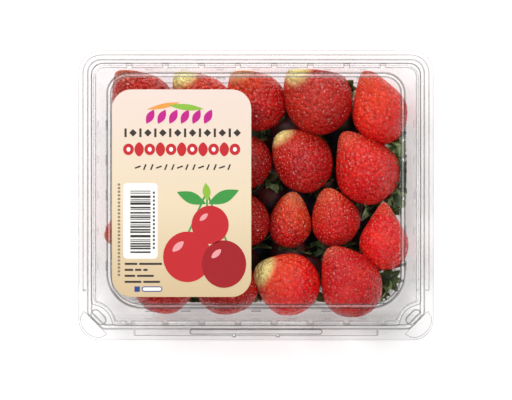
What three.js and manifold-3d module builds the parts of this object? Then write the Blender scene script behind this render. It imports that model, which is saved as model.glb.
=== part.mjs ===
// A hinged clear punnet of strawberries, in millimetres, +Z up.
// The origin is on the table under the middle of the pack, +Y is the hinge side.
// The pack is thermoformed from one sheet: a deep tray and a shallow lid whose flanges meet.
// Each half is a shell lofted through rings, from its rim to the middle of its flat panel.

import * as THREE from 'three';
import Module from 'manifold-3d';
import { mergeVertices } from 'three/addons/utils/BufferGeometryUtils.js';

const wasm = await Module();
wasm.setup();

// Driving dimensions
const WIDTH = 174;
const DEPTH = 142;
const SHEET = 0.7;
const FIT = 0.3;
const PARTING_Z = 30;

// Gaps between the lid and the tray where one nests in the other
const NEST_GAP_Z = 0.4;
const NEST_GAP_SIDE = 0.5;

// How far an added feature reaches into the sheet that it stands on
const OVERLAP = 0.3;

// Limits for the inner face of the sheet at sharp turns and in the scallops
const MITRE_LIMIT = 0.5;
const LEAST_FILLET = 0.3;

// Heights of the lid's levels, all on its outer surface
const FLANGE_Z = PARTING_Z + FIT + SHEET;
const BEAD_Z = FLANGE_Z + 0.5;
const PLATFORM_Z = FLANGE_Z + 2.4;
const BAND_Z = FLANGE_Z + 11;
const PANEL_Z = FLANGE_Z + 15;

// Insets of the steps from the rim, which the tray repeats under the lid
const BEAD_IN = 2.1;
const STEP_IN = 4.5;
const WALL_IN = 6.5;
const WALL_FRONT_IN = 7.3;
const BAND_IN = 9;
const PANEL_IN = 14.5;
const PANEL_WALL = 2.6;

// Corners
const RIM_BACK_R = 10.5;
const RIM_FRONT_R = 10;
const SCALLOP_R = 10.3;
const CHAMFER_EASE = 1.2;
const CORNER_STEPS = 12;
const BACK_STEPS = 7;

// The bead round the flange stops short of the thumb tabs at the two front corners
const TAB_END_X = 60;
const TAB_END_Y = -47;
const BEAD_RUNOUT = 1;

// Stacking lugs on the lid's long walls, and the turn that faces each wall
const LUG_PITCH = 17.6;
const LUG_COUNT = 8;
const LUG_WIDTH = 3;
const LUG_LEAN = 0.5;
const LUG_ROOT = 1;
const LUG_HOLLOW_ROOT = 2.5;
const RIGHT_WALL = 0;
const BACK_WALL = Math.PI / 2;
const LEFT_WALL = Math.PI;
const FRONT_WALL = -Math.PI / 2;

// Snap buttons and thumb tabs on the front corners
const BUTTON = { x: 77, y: -59.6, length: 8.4, width: 4.6, rise: 1.6, hollow: 2, segments: 8 };
const STUD_SEGMENTS = 6;
const TAB = { x: 78.6, y: -62.3, half: 7.5, reach: 6.6, rise: 0.6, ease: 1.2, segments: 14 };
const LOCK = { y: -66.8, length: 64.6, width: 2.3, rise: 1.2, segments: 6 };
const LOCK_DOT = { x: 10.7, y: -68.6, radius: 0.8, rise: 0.5, segments: 6 };

// Tray
const LIP_Z = PLATFORM_Z - SHEET - NEST_GAP_Z;
const LIP_IN = STEP_IN + SHEET + NEST_GAP_SIDE;
const TRAY_WALL_IN = 8.2;
const TRAY_FOOT_IN = 14;
const FLOOR_RISE = 1.2;
const FLOOR_PANEL_IN = 24;
const FLUTE = { head: 27, foot: 5, width: 5, proud: 0.9, slope: 2, side: 5, long: 7 };
const FLUTE_HOLLOW = { behind: 0.6, end: 1, slope: 0.4 };

// Contents and print
const PAD = { width: 118, depth: 88, thick: 1, radius: 6 };
const SLAB_SEGMENTS = 6;
const HEAP = { steps: 13, clear: 1, shoulderZ: 20, valleyZ: 19, front: 1, backR: 8, corner: 20 };
const HEAP_FOOT = { inset: FLOOR_PANEL_IN - 6, rise: 3 };
const HEAP_SPREAD = 2.2;
const HEAP_SHRINK_START = 0.004;
const BERRY = { topZ: 37.5, plumpness: 0.42, usualWidth: 31, sink: 0.3 };
const LABEL = { x: -36, y: 1, width: 67.4, depth: 100.4, radius: 9.5, thick: 0.2, lift: 0.1 };

// Corner paths
// Each runs in the corner's own frame, from the front or back line at (a, 0) to the side at (0, b).

function sampled(path, steps) {
  return path.getSpacedPoints(steps);
}

function roundCorner(radius, steps) {
  const path = new THREE.Path();
  path.absarc(radius, radius, radius, -Math.PI / 2, -Math.PI, true);
  return sampled(path, steps);
}

function chamferCorner(leg, ease, steps) {
  const path = new THREE.Path();
  path.moveTo(leg + ease, 0);
  path.quadraticCurveTo(leg, 0, leg - ease, ease);
  path.lineTo(ease, leg - ease);
  path.quadraticCurveTo(0, leg, 0, leg + ease);
  return sampled(path, steps);
}

// A concave arc of the given radius round a centre outside the corner, with a fillet at each end
function scallopCorner(radius, fillet, offsetX, offsetY, steps) {
  const reach = radius + fillet;
  const alongX = Math.sqrt(reach ** 2 - (fillet + offsetY) ** 2) - offsetX;
  const alongY = Math.sqrt(reach ** 2 - (fillet + offsetX) ** 2) - offsetY;
  const startAngle = Math.atan2(fillet + offsetY, alongX + offsetX);
  const endAngle = Math.atan2(alongY + offsetY, fillet + offsetX);
  const path = new THREE.Path();
  path.absarc(alongX, fillet, fillet, -Math.PI / 2, startAngle - Math.PI, true);
  path.absarc(-offsetX, -offsetY, radius, startAngle, endAngle, false);
  path.absarc(fillet, alongY, fillet, endAngle - Math.PI, -Math.PI, true);
  return sampled(path, steps);
}

function frontCorner(station) {
  const size = station.corner;
  if (station.kind === 'scallop') {
    const offsetX = station.inset - WALL_IN;
    const offsetY = station.inset + station.front - WALL_FRONT_IN;
    return scallopCorner(size, station.fillet, offsetX, offsetY, CORNER_STEPS);
  }
  if (station.kind === 'chamfer') {
    return chamferCorner(size, CHAMFER_EASE, CORNER_STEPS);
  }
  return roundCorner(size, CORNER_STEPS);
}

// One closed ring of points round the pack, anticlockwise from the front
function ring(station) {
  const side = WIDTH / 2 - station.inset;
  const front = -DEPTH / 2 + station.inset + station.front;
  const back = DEPTH / 2 - station.inset - station.back;
  const lowZ = station.low ?? station.z;
  const corner = frontCorner(station);
  const markX = Math.min(TAB_END_X, side - corner[0].x - BEAD_RUNOUT);
  const markY = Math.max(TAB_END_Y, front + corner[CORNER_STEPS].y + BEAD_RUNOUT);
  const right = [];
  right.push(new THREE.Vector3(markX - BEAD_RUNOUT, front, station.z));
  right.push(new THREE.Vector3(markX, front, lowZ));
  for (const p of corner) {
    right.push(new THREE.Vector3(side - p.x, front + p.y, lowZ));
  }
  right.push(new THREE.Vector3(side, markY, lowZ));
  right.push(new THREE.Vector3(side, markY + BEAD_RUNOUT, station.z));
  for (const p of roundCorner(station.backR, BACK_STEPS).reverse()) {
    right.push(new THREE.Vector3(side - p.x, back - p.y, station.z));
  }
  const left = right.map((p) => new THREE.Vector3(-p.x, p.y, p.z)).reverse();
  return right.concat(left);
}

function signedVolume(positions, indices) {
  const a = new THREE.Vector3();
  const b = new THREE.Vector3();
  const c = new THREE.Vector3();
  let total = 0;
  for (let i = 0; i < indices.length; i += 3) {
    a.fromArray(positions, indices[i] * 3);
    b.fromArray(positions, indices[i + 1] * 3);
    c.fromArray(positions, indices[i + 2] * 3);
    total += a.dot(b.cross(c)) / 6;
  }
  return total;
}

// A closed body through a stack of rings, capped by a fan over the first ring and the last
function loft(rings) {
  const count = rings[0].length;
  const positions = [];
  const indices = [];
  for (const points of rings) {
    for (const p of points) {
      positions.push(p.x, p.y, p.z);
    }
  }
  for (let r = 0; r < rings.length - 1; r++) {
    for (let i = 0; i < count; i++) {
      const next = (i + 1) % count;
      const a = r * count + i;
      const b = r * count + next;
      indices.push(a, b, a + count);
      indices.push(b, b + count, a + count);
    }
  }
  const caps = [[0, 1], [rings.length - 1, -1]];
  for (const [r, turn] of caps) {
    const middle = new THREE.Vector3();
    rings[r].forEach((p) => middle.add(p));
    middle.divideScalar(count);
    const centre = positions.length / 3;
    positions.push(middle.x, middle.y, middle.z);
    for (let i = 0; i < count; i++) {
      const a = r * count + i;
      const b = r * count + (i + 1) % count;
      indices.push(...(turn > 0 ? [b, a, centre] : [a, b, centre]));
    }
  }
  if (signedVolume(positions, indices) < 0) {
    indices.reverse();
  }
  const geometry = new THREE.BufferGeometry();
  geometry.setAttribute('position', new THREE.Float32BufferAttribute(positions, 3));
  geometry.setIndex(indices);
  return geometry;
}

// The other face of the sheet: each station moved square to the profile by the sheet's thickness
function innerFace(stations) {
  return stations.map((station, i) => {
    const before = stations[Math.max(i - 1, 0)];
    const after = stations[Math.min(i + 1, stations.length - 1)];
    const first = new THREE.Vector2(station.inset - before.inset, station.z - before.z);
    const second = new THREE.Vector2(after.inset - station.inset, after.z - station.z);
    const one = (i === 0 ? second.clone() : first).normalize();
    const two = (i === stations.length - 1 ? one.clone() : second).normalize();
    const square = new THREE.Vector2(one.y, -one.x);
    const normal = new THREE.Vector2(one.y + two.y, -one.x - two.x).normalize();
    const move = normal.multiplyScalar(SHEET / Math.max(normal.dot(square), MITRE_LIMIT));
    const inner = { ...station, inset: station.inset + move.x, z: station.z + move.y };
    const grow = station.kind === 'scallop' ? move.x : -move.x;
    inner.corner = station.corner + grow;
    inner.backR = station.backR - move.x;
    if (station.low !== undefined) {
      inner.low = station.low + move.y;
    }
    if (station.kind === 'scallop') {
      inner.fillet = Math.max(station.fillet - move.x, LEAST_FILLET);
    }
    return inner;
  });
}

function shell(stations) {
  const outer = stations.map(ring);
  const inner = innerFace(stations).map(ring).reverse();
  return loft(inner.concat(outer));
}

// Solids for joining and cutting
function solid(geometry) {
  const loose = geometry.clone();
  loose.deleteAttribute('normal');
  loose.deleteAttribute('uv');
  const plain = mergeVertices(loose, 1e-4);
  const mesh = new wasm.Mesh({
    numProp: 3,
    vertProperties: new Float32Array(plain.attributes.position.array),
    triVerts: new Uint32Array(plain.index.array),
  });
  return new wasm.Manifold(mesh);
}

function geometryOf(body) {
  const mesh = body.getMesh();
  const geometry = new THREE.BufferGeometry();
  geometry.setAttribute('position', new THREE.BufferAttribute(new Float32Array(mesh.vertProperties), 3));
  geometry.setIndex(Array.from(mesh.triVerts));
  return geometry;
}

function pillShape(length, width) {
  const r = width / 2;
  const h = length / 2 - r;
  const shape = new THREE.Shape();
  shape.moveTo(-h, -r);
  shape.lineTo(h, -r);
  shape.absarc(h, 0, r, -Math.PI / 2, Math.PI / 2, false);
  shape.lineTo(-h, r);
  shape.absarc(-h, 0, r, Math.PI / 2, Math.PI * 1.5, false);
  return shape;
}

// A flat shape raised from one height to another, turned and placed in plan
function raised(shape, fromZ, toZ, x, y, turn, curveSegments) {
  const geometry = new THREE.ExtrudeGeometry(shape, {
    depth: toZ - fromZ,
    bevelEnabled: false,
    curveSegments,
  });
  geometry.rotateZ(turn);
  geometry.translate(x, y, fromZ);
  return solid(geometry);
}

// A prism whose outline is given as distances from the pack's middle and heights.
// It is centred on a place along the wall and turned to the wall: 0 is right, 90 degrees is back.
function wedge(profile, width, along, turn) {
  const shape = new THREE.Shape(profile.map(([r, z]) => new THREE.Vector2(r, z)));
  const geometry = new THREE.ExtrudeGeometry(shape, { depth: width, bevelEnabled: false });
  geometry.rotateX(Math.PI / 2);
  geometry.translate(0, along + width / 2, 0);
  geometry.rotateZ(turn);
  return solid(geometry);
}

function evenPlaces(count, pitch) {
  const places = [];
  for (let i = 0; i < count; i++) {
    places.push((i - (count - 1) / 2) * pitch);
  }
  return places;
}

// Adds a row of wedges to a wall and hollows each one from behind, so the sheet stays a sheet
function withRow(body, row) {
  let result = body;
  const places = evenPlaces(row.count, row.pitch);
  for (const along of places) {
    result = result.add(wedge(row.outer, row.width, along, row.turn));
  }
  for (const along of places) {
    result = result.subtract(wedge(row.inner, row.width - 2 * SHEET, along, row.turn));
  }
  return result;
}

// A lug fills the slope of the lid's wall, so its outer face stands nearly upright
function lugRow(turn, foot, head) {
  const outer = [
    [foot, PLATFORM_Z],
    [foot - LUG_LEAN, BAND_Z],
    [head - LUG_ROOT, BAND_Z],
    [foot - LUG_ROOT, PLATFORM_Z],
  ];
  const inner = [
    [foot - SHEET, PLATFORM_Z - SHEET],
    [foot - LUG_LEAN - SHEET, BAND_Z - SHEET],
    [head - LUG_HOLLOW_ROOT, BAND_Z - SHEET],
    [foot - LUG_HOLLOW_ROOT, PLATFORM_Z - SHEET],
  ];
  return { turn, outer, inner, count: LUG_COUNT, pitch: LUG_PITCH, width: LUG_WIDTH };
}

// A flute stands proud of the tray's wall, with a slope at each end
function fluteRow(turn, rim, count) {
  const lean = (TRAY_FOOT_IN - TRAY_WALL_IN) / (LIP_Z - FLUTE.foot);
  const faceAt = (z) => rim - TRAY_WALL_IN - lean * (LIP_Z - z);
  const high = FLUTE.head - FLUTE.slope;
  const low = FLUTE.foot + FLUTE.slope;
  const outer = [
    [faceAt(FLUTE.head) + SHEET / 2, FLUTE.head],
    [faceAt(high) + SHEET + FLUTE.proud, high],
    [faceAt(low) + SHEET + FLUTE.proud, low],
    [faceAt(FLUTE.foot) + SHEET / 2, FLUTE.foot],
  ];
  const inner = [
    [faceAt(FLUTE.head) - FLUTE_HOLLOW.behind, FLUTE.head - FLUTE_HOLLOW.end],
    [faceAt(high) + FLUTE.proud, high - FLUTE_HOLLOW.slope],
    [faceAt(low) + FLUTE.proud, low + FLUTE_HOLLOW.slope],
    [faceAt(FLUTE.foot) - FLUTE_HOLLOW.behind, FLUTE.foot + FLUTE_HOLLOW.end],
  ];
  return { turn, outer, inner, count, pitch: LUG_PITCH, width: FLUTE.width };
}

// Lid
function lidStations() {
  const rim = { front: 0, back: 0, kind: 'round', backR: RIM_BACK_R, corner: RIM_FRONT_R };
  const step = { front: 1, back: 0, kind: 'chamfer', backR: 6.5, corner: 7.2 };
  const wall = { front: WALL_FRONT_IN - WALL_IN, back: -0.1, kind: 'scallop', backR: 6 };
  const panel = { front: 1.5, back: -3.1, kind: 'round' };
  return [
    { ...rim, inset: 0, z: FLANGE_Z },
    { ...rim, inset: BEAD_IN, z: FLANGE_Z, backR: 9, corner: 8.4 },
    { ...rim, inset: BEAD_IN + 0.3, z: BEAD_Z, low: FLANGE_Z, backR: 8.7, corner: 8.1 },
    { ...step, inset: STEP_IN, z: BEAD_Z, low: FLANGE_Z },
    { ...step, inset: STEP_IN + 0.3, z: PLATFORM_Z },
    { ...wall, inset: WALL_IN, z: PLATFORM_Z, corner: SCALLOP_R, fillet: 1.7 },
    { ...wall, inset: BAND_IN, z: BAND_Z, corner: SCALLOP_R + 2.1, fillet: 1, backR: 4.4 },
    { ...panel, inset: PANEL_IN, z: BAND_Z, backR: 10, corner: 17 },
    { ...panel, inset: PANEL_IN + 0.7, z: BAND_Z + 0.8, backR: 9.6, corner: 16.6 },
    { ...panel, inset: PANEL_IN + PANEL_WALL - 0.7, z: PANEL_Z - 0.5, backR: 8.4, corner: 15.4 },
    { ...panel, inset: PANEL_IN + PANEL_WALL, z: PANEL_Z, backR: 7.7, corner: 14.7 },
  ];
}

function lidBody() {
  const backOut = 0.1;
  const bandFrontIn = 0.8;
  const wallBack = DEPTH / 2 - WALL_IN + backOut;
  const wallFront = DEPTH / 2 - WALL_FRONT_IN;
  const bandBack = DEPTH / 2 - BAND_IN + backOut;
  const bandFront = DEPTH / 2 - BAND_IN - bandFrontIn;
  let body = solid(shell(lidStations()));
  body = withRow(body, lugRow(BACK_WALL, wallBack, bandBack));
  body = withRow(body, lugRow(FRONT_WALL, wallFront, bandFront));

  const boss = pillShape(BUTTON.length, BUTTON.width);
  const hollow = pillShape(BUTTON.length - 2 * SHEET, BUTTON.width - 2 * SHEET);
  const bossFoot = PLATFORM_Z - OVERLAP;
  const bossTop = PLATFORM_Z + BUTTON.rise;
  const hollowFoot = PLATFORM_Z - BUTTON.hollow;
  const hollowTop = bossTop - SHEET;
  const flangeFoot = FLANGE_Z - OVERLAP;
  const tabTop = FLANGE_Z + TAB.rise;
  const dotTop = BEAD_Z + LOCK_DOT.rise;
  for (const side of [-1, 1]) {
    const turn = side * Math.PI / 4;
    const x = side * BUTTON.x;
    body = body.add(raised(boss, bossFoot, bossTop, x, BUTTON.y, turn, BUTTON.segments));
    body = body.subtract(raised(hollow, hollowFoot, hollowTop, x, BUTTON.y, turn, BUTTON.segments));
    body = body.add(raised(tabShape(), flangeFoot, tabTop, side * TAB.x, TAB.y, turn, TAB.segments));
    const dotX = side * LOCK_DOT.x;
    body = body.add(raised(dotShape(), flangeFoot, dotTop, dotX, LOCK_DOT.y, 0, LOCK_DOT.segments));
  }
  const lock = pillShape(LOCK.length, LOCK.width);
  return body.add(raised(lock, flangeFoot, BEAD_Z + LOCK.rise, 0, LOCK.y, 0, LOCK.segments));
}

// A half moon that bulges to the corner, with its straight edge along local X
function tabShape() {
  const { half, reach, ease } = TAB;
  const shape = new THREE.Shape();
  shape.moveTo(-half + ease, 0);
  shape.quadraticCurveTo(-half - ease, 0, -half, -ease);
  shape.absellipse(0, -ease, half, reach - ease, Math.PI, 2 * Math.PI, false, 0);
  shape.quadraticCurveTo(half + ease, 0, half - ease, 0);
  return shape;
}

function dotShape() {
  const shape = new THREE.Shape();
  shape.absarc(0, 0, LOCK_DOT.radius, 0, 2 * Math.PI, false);
  return shape;
}

// Tray
function trayStations() {
  const rim = { front: 0, back: 0, kind: 'round', backR: RIM_BACK_R, corner: RIM_FRONT_R };
  const lip = { front: 1, back: 0, kind: 'chamfer', backR: 5.8, corner: 6.8 };
  const wall = { front: 0.8, back: 0, kind: 'scallop', backR: 5 };
  const floor = { front: 1, back: 0, kind: 'round' };
  const wallSpan = TRAY_FOOT_IN - TRAY_WALL_IN;
  return [
    { ...rim, inset: 0, z: PARTING_Z },
    { ...lip, inset: LIP_IN, z: PARTING_Z },
    { ...lip, inset: LIP_IN + 0.2, z: LIP_Z },
    { ...wall, inset: TRAY_WALL_IN, z: LIP_Z, corner: SCALLOP_R + 1.6, fillet: 1.6 },
    { ...wall, inset: TRAY_WALL_IN + 0.15 * wallSpan, z: 27, corner: SCALLOP_R + 2, fillet: 2.2 },
    { ...floor, inset: TRAY_WALL_IN + 0.6 * wallSpan, z: 14, backR: 9, corner: 15 },
    { ...floor, inset: TRAY_FOOT_IN, z: 4, backR: 10, corner: 13 },
    { ...floor, inset: TRAY_FOOT_IN + 1, z: 1.8, backR: 9.5, corner: 12.5 },
    { ...floor, inset: TRAY_FOOT_IN + 3, z: SHEET, backR: 8, corner: 11 },
    { ...floor, inset: FLOOR_PANEL_IN, z: SHEET, backR: 6, corner: 9 },
    { ...floor, inset: FLOOR_PANEL_IN + 1.2, z: SHEET + FLOOR_RISE, backR: 5, corner: 8 },
  ];
}

function trayBody() {
  const frontIn = 1;
  let body = solid(shell(trayStations()));
  body = withRow(body, fluteRow(RIGHT_WALL, WIDTH / 2, FLUTE.side));
  body = withRow(body, fluteRow(LEFT_WALL, WIDTH / 2, FLUTE.side));
  body = withRow(body, fluteRow(BACK_WALL, DEPTH / 2, FLUTE.long));
  body = withRow(body, fluteRow(FRONT_WALL, DEPTH / 2 - frontIn, FLUTE.long));

  const shrink = 2 * (SHEET + NEST_GAP_SIDE);
  const stud = pillShape(BUTTON.length - shrink, BUTTON.width - shrink);
  const foot = LIP_Z - OVERLAP;
  const top = PLATFORM_Z + BUTTON.rise - SHEET - NEST_GAP_Z;
  for (const side of [-1, 1]) {
    const turn = side * Math.PI / 4;
    body = body.add(raised(stud, foot, top, side * BUTTON.x, BUTTON.y, turn, STUD_SEGMENTS));
  }
  return body;
}

// Berries, each lying with its tip towards heading, in degrees from +X
const BERRIES = [
  { x: -57.8, y: 48.2, heading: 118, length: 36, width: 31 },
  { x: -27.9, y: 47.2, heading: 128, length: 36, width: 29 },
  { x: 0.7, y: 48, heading: 117, length: 36, width: 29 },
  { x: 30.2, y: 48.4, heading: 129, length: 38, width: 33 },
  { x: 59.8, y: 44.3, heading: 113, length: 39, width: 28.5 },
  { x: -59, y: 15, heading: 100, length: 33, width: 28 },
  { x: -33.3, y: 17, heading: 60, length: 33, width: 29 },
  { x: -7.2, y: 17.8, heading: 140, length: 33, width: 29 },
  { x: 23, y: 17.1, heading: 130, length: 36, width: 30.5 },
  { x: 54.4, y: 13.9, heading: 123, length: 40.5, width: 32 },
  { x: -60, y: -15, heading: 200, length: 32, width: 28 },
  { x: -34.8, y: -13, heading: 130, length: 33, width: 28 },
  { x: -6.4, y: -10.6, heading: 110, length: 32, width: 28.5 },
  { x: 17.2, y: -12.1, heading: 82, length: 30, width: 22.5 },
  { x: 39.2, y: -10.6, heading: 103, length: 31, width: 25.5 },
  { x: 63.2, y: -20.4, heading: 92, length: 35, width: 25.5 },
  { x: -45.2, y: -43.6, heading: 80, length: 32, width: 28.5 },
  { x: -14.4, y: -43.6, heading: 100, length: 32, width: 31.5 },
  { x: 16.7, y: -43, heading: 158, length: 35, width: 33 },
  { x: 46.6, y: -41.9, heading: 121, length: 40, width: 31 },
];

// The heap's top is the highest of the berries over each point, with a floor in the valleys
function heapTop(x, y) {
  let top = HEAP.valleyZ;
  for (const berry of BERRIES) {
    const angle = THREE.MathUtils.degToRad(berry.heading);
    const dx = x - berry.x;
    const dy = y - berry.y;
    const along = (dx * Math.cos(angle) + dy * Math.sin(angle)) / (berry.length / 2);
    const across = (-dx * Math.sin(angle) + dy * Math.cos(angle)) / (berry.width / 2);
    const rest = 1 - along ** 2 - across ** 2;
    if (rest > 0) {
      const height = berry.width * BERRY.plumpness;
      const centreZ = BERRY.topZ - height - (BERRY.usualWidth - berry.width) * BERRY.sink;
      top = Math.max(top, centreZ + height * Math.sqrt(rest));
    }
  }
  return top;
}

function heapRing(inset, z) {
  const { front, backR, corner } = HEAP;
  return ring({ inset, z, front, back: 0, kind: 'round', backR, corner });
}

function heapGeometry() {
  const floorZ = SHEET + FLOOR_RISE + 2 * FIT + PAD.thick;
  const low = heapRing(HEAP_FOOT.inset, floorZ);
  const belly = heapRing(TRAY_FOOT_IN + HEAP.clear, floorZ + HEAP_FOOT.rise);
  const edge = heapRing(TRAY_FOOT_IN - HEAP_SPREAD + HEAP.clear, HEAP.shoulderZ);
  const rings = [low, belly, edge];
  for (let s = 1; s <= HEAP.steps; s++) {
    const shrink = 1 - s / (HEAP.steps + 1) - HEAP_SHRINK_START;
    rings.push(edge.map((p) => {
      const x = p.x * shrink;
      const y = p.y * shrink;
      return new THREE.Vector3(x, y, heapTop(x, y));
    }));
  }
  return loft(rings);
}

function roundedRectangle(width, depth, radius) {
  const shape = new THREE.Shape();
  const x = width / 2 - radius;
  const y = depth / 2 - radius;
  shape.absarc(x, y, radius, 0, Math.PI / 2, false);
  shape.absarc(-x, y, radius, Math.PI / 2, Math.PI, false);
  shape.absarc(-x, -y, radius, Math.PI, Math.PI * 1.5, false);
  shape.absarc(x, -y, radius, Math.PI * 1.5, Math.PI * 2, false);
  return shape;
}

function slab(size, z) {
  const shape = roundedRectangle(size.width, size.depth, size.radius);
  const geometry = new THREE.ExtrudeGeometry(shape, {
    depth: size.thick,
    bevelEnabled: false,
    curveSegments: SLAB_SEGMENTS,
  });
  geometry.translate(size.x ?? 0, size.y ?? 0, z);
  return geometry;
}

// Materials
const clearFilm = new THREE.MeshStandardMaterial({
  color: 0xe6e8ea, roughness: 0.06, metalness: 0, transparent: true, opacity: 0.35,
});
const berrySkin = new THREE.MeshStandardMaterial({ color: 0xc42420, roughness: 0.35, metalness: 0 });
const padFabric = new THREE.MeshStandardMaterial({ color: 0x20263c, roughness: 0.8, metalness: 0 });
const labelPaper = new THREE.MeshStandardMaterial({ color: 0xf5e3c0, roughness: 0.45, metalness: 0 });

function named(name, geometry, material) {
  const mesh = new THREE.Mesh(geometry, material);
  mesh.name = name;
  return mesh;
}

// Assembly
const group = new THREE.Group();
group.add(named('base_tray', geometryOf(trayBody()), clearFilm));
group.add(named('lid', geometryOf(lidBody()), clearFilm));
group.add(named('soaker_pad', slab(PAD, SHEET + FLOOR_RISE + FIT), padFabric));
group.add(named('berry_heap', heapGeometry(), berrySkin));
group.add(named('label', slab(LABEL, PANEL_Z + LABEL.lift), labelPaper));

export default group;
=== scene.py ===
# %% [markdown]
# # A clear punnet of strawberries
# A supermarket punnet is one sheet of clear plastic, formed into a tray and a lid that fold
# together, with a single layer of fruit inside and a paper label on the lid.
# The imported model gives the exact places, so everything here is made in metres in its frame:
# +X to the right of the label, +Y to the hinge, +Z up, with the table at zero.

# %% Frame
import math
import random

import bmesh
import bpy
import numpy as np
from mathutils import Matrix, Vector, kdtree


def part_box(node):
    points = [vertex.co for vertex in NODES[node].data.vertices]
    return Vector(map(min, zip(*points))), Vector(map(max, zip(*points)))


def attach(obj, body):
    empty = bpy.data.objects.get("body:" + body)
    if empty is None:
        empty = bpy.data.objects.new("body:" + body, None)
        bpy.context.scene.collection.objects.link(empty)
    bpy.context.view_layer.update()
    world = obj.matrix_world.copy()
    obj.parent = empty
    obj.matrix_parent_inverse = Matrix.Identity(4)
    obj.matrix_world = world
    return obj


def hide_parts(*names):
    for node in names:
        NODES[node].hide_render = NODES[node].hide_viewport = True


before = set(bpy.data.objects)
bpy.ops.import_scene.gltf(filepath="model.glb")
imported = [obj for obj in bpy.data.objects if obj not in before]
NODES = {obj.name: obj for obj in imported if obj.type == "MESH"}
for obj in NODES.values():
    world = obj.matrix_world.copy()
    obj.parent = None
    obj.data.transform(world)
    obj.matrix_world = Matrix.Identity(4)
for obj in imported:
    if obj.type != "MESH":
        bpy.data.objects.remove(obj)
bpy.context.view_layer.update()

MM = 0.001

# %% [markdown]
# ## Small tools
# Colours are picked as sRGB hex values, the way a colour picker shows them, but shaders work in
# linear light, so one function converts them. Node trees are wired with one helper that sets
# a new node's values and links in one call, which keeps each material readable as a recipe.

# %% Colour and node helpers
def srgb(hex_code):
    """A hex colour such as #c42420 as linear red, green, blue and alpha."""
    channels = [int(hex_code[i:i + 2], 16) / 255 for i in (1, 3, 5)]
    linear = [c / 12.92 if c <= 0.04045 else ((c + 0.055) / 1.055) ** 2.4 for c in channels]
    return (*linear, 1.0)


def new_material(name):
    """An empty material and its node tree."""
    material = bpy.data.materials.new(name)
    material.use_nodes = True
    material.node_tree.nodes.clear()
    return material, material.node_tree


def add_node(tree, kind, settings=None, links=None):
    """Adds a node, sets its properties and unlinked inputs, and links sockets into it."""
    node = tree.nodes.new(kind)
    for key, value in (settings or {}).items():
        if isinstance(key, int) or key in node.inputs:
            node.inputs[key].default_value = value
        else:
            setattr(node, key, value)
    for key, source in (links or {}).items():
        tree.links.new(source, node.inputs[key])
    return node


# The Mix node has a set of sockets for each kind of value. These are the ones for colours.
MIX_SHARE = 0
MIX_FIRST = 6
MIX_SECOND = 7
MIX_RESULT = 2


def blend_colours(tree, share, first, second):
    """A colour between two, where each value is a socket or a plain number or colour."""
    settings = {"data_type": "RGBA"}
    links = {}
    for slot, value in ((MIX_SHARE, share), (MIX_FIRST, first), (MIX_SECOND, second)):
        if isinstance(value, bpy.types.NodeSocket):
            links[slot] = value
        else:
            settings[slot] = value
    return add_node(tree, "ShaderNodeMix", settings, links).outputs[MIX_RESULT]


def ramp(tree, source, stops):
    """A colour ramp on a socket, with stops as (place, hex colour)."""
    node = add_node(tree, "ShaderNodeValToRGB", links={"Fac": source})
    elements = node.color_ramp.elements
    while len(elements) < len(stops):
        elements.new(1.0)
    for element, (place, colour) in zip(elements, stops):
        element.position = place
        element.color = srgb(colour)
    return node.outputs["Color"]


# %% Mesh helpers
def finish_piece(name, bm, materials, body, smooth=True):
    """Turns a bmesh into an object with materials that rides on a body."""
    mesh = bpy.data.meshes.new(name)
    bm.to_mesh(mesh)
    bm.free()
    for material in materials:
        mesh.materials.append(material)
    mesh.polygons.foreach_set("use_smooth", [smooth] * len(mesh.polygons))
    piece = bpy.data.objects.new(name, mesh)
    bpy.context.scene.collection.objects.link(piece)
    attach(piece, body)
    return piece


def give_material(node_name, material):
    """Gives a CAD node a finished material in place of its plain one."""
    slots = NODES[node_name].data.materials
    if not slots:
        slots.append(material)
    for index in range(len(slots)):
        slots[index] = material


# %% [markdown]
# ## Camera, floor and light
# The photograph looks straight down from far away, so its lines hardly converge. A camera 1.2 m
# above the flange with a long lens does the same. One pixel covers 0.49 mm of the flange, and
# the pack's middle lies a little above the picture's middle, which gives the lens and the aim.

# %% Camera
PHOTO_WIDE = 512
PHOTO_HIGH = 400
PACK_MIDDLE_Y_PX = 195.3
MM_PER_PX = 0.49
SENSOR_MM = 36
CAMERA_DISTANCE = 1.2
FLANGE_Z = 31 * MM

camera_data = bpy.data.cameras.new("camera")
camera_data.sensor_width = SENSOR_MM
camera_data.lens = SENSOR_MM * CAMERA_DISTANCE / (PHOTO_WIDE * MM_PER_PX * MM)
camera_data.clip_start = 0.05
camera = bpy.data.objects.new("camera", camera_data)
bpy.context.scene.collection.objects.link(camera)
aim_y = -(PHOTO_HIGH / 2 - PACK_MIDDLE_Y_PX) * MM_PER_PX * MM
camera.location = (0, aim_y, FLANGE_Z + CAMERA_DISTANCE)
bpy.context.scene.camera = camera
print("lens", round(camera_data.lens, 1), "mm")

# %% [markdown]
# The floor is a plain white sweep that glows a little, so it stays white under the pack's shade.
# Three soft boxes hang above, the strongest on the left, and a long strip stands low behind,
# which draws the bright line along the back of the lid. The world is pale all round but dark
# straight overhead: flat film mirrors that dark patch to the camera, so it doesn't veil the fruit.

# %% Floor and lights
PACK_MIDDLE = (0, 0, 0.03)
BOX_SIZE = (0.3, 0.3)
STRIP_SIZE = (1.2, 0.45)
SKY_STRENGTH = 0.22
FLOOR_GLOW = 0.3
FLOOR_HALF = 1.5


def soft_box(name, place, aim, size, power):
    """A rectangular soft box that faces a point, with its power in watts."""
    data = bpy.data.lights.new(name, "AREA")
    data.shape = "RECTANGLE"
    data.size, data.size_y = size
    data.energy = power
    lamp = bpy.data.objects.new(name, data)
    lamp.location = place
    lamp.rotation_euler = (Vector(aim) - Vector(place)).to_track_quat("-Z", "Y").to_euler()
    bpy.context.scene.collection.objects.link(lamp)


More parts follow.
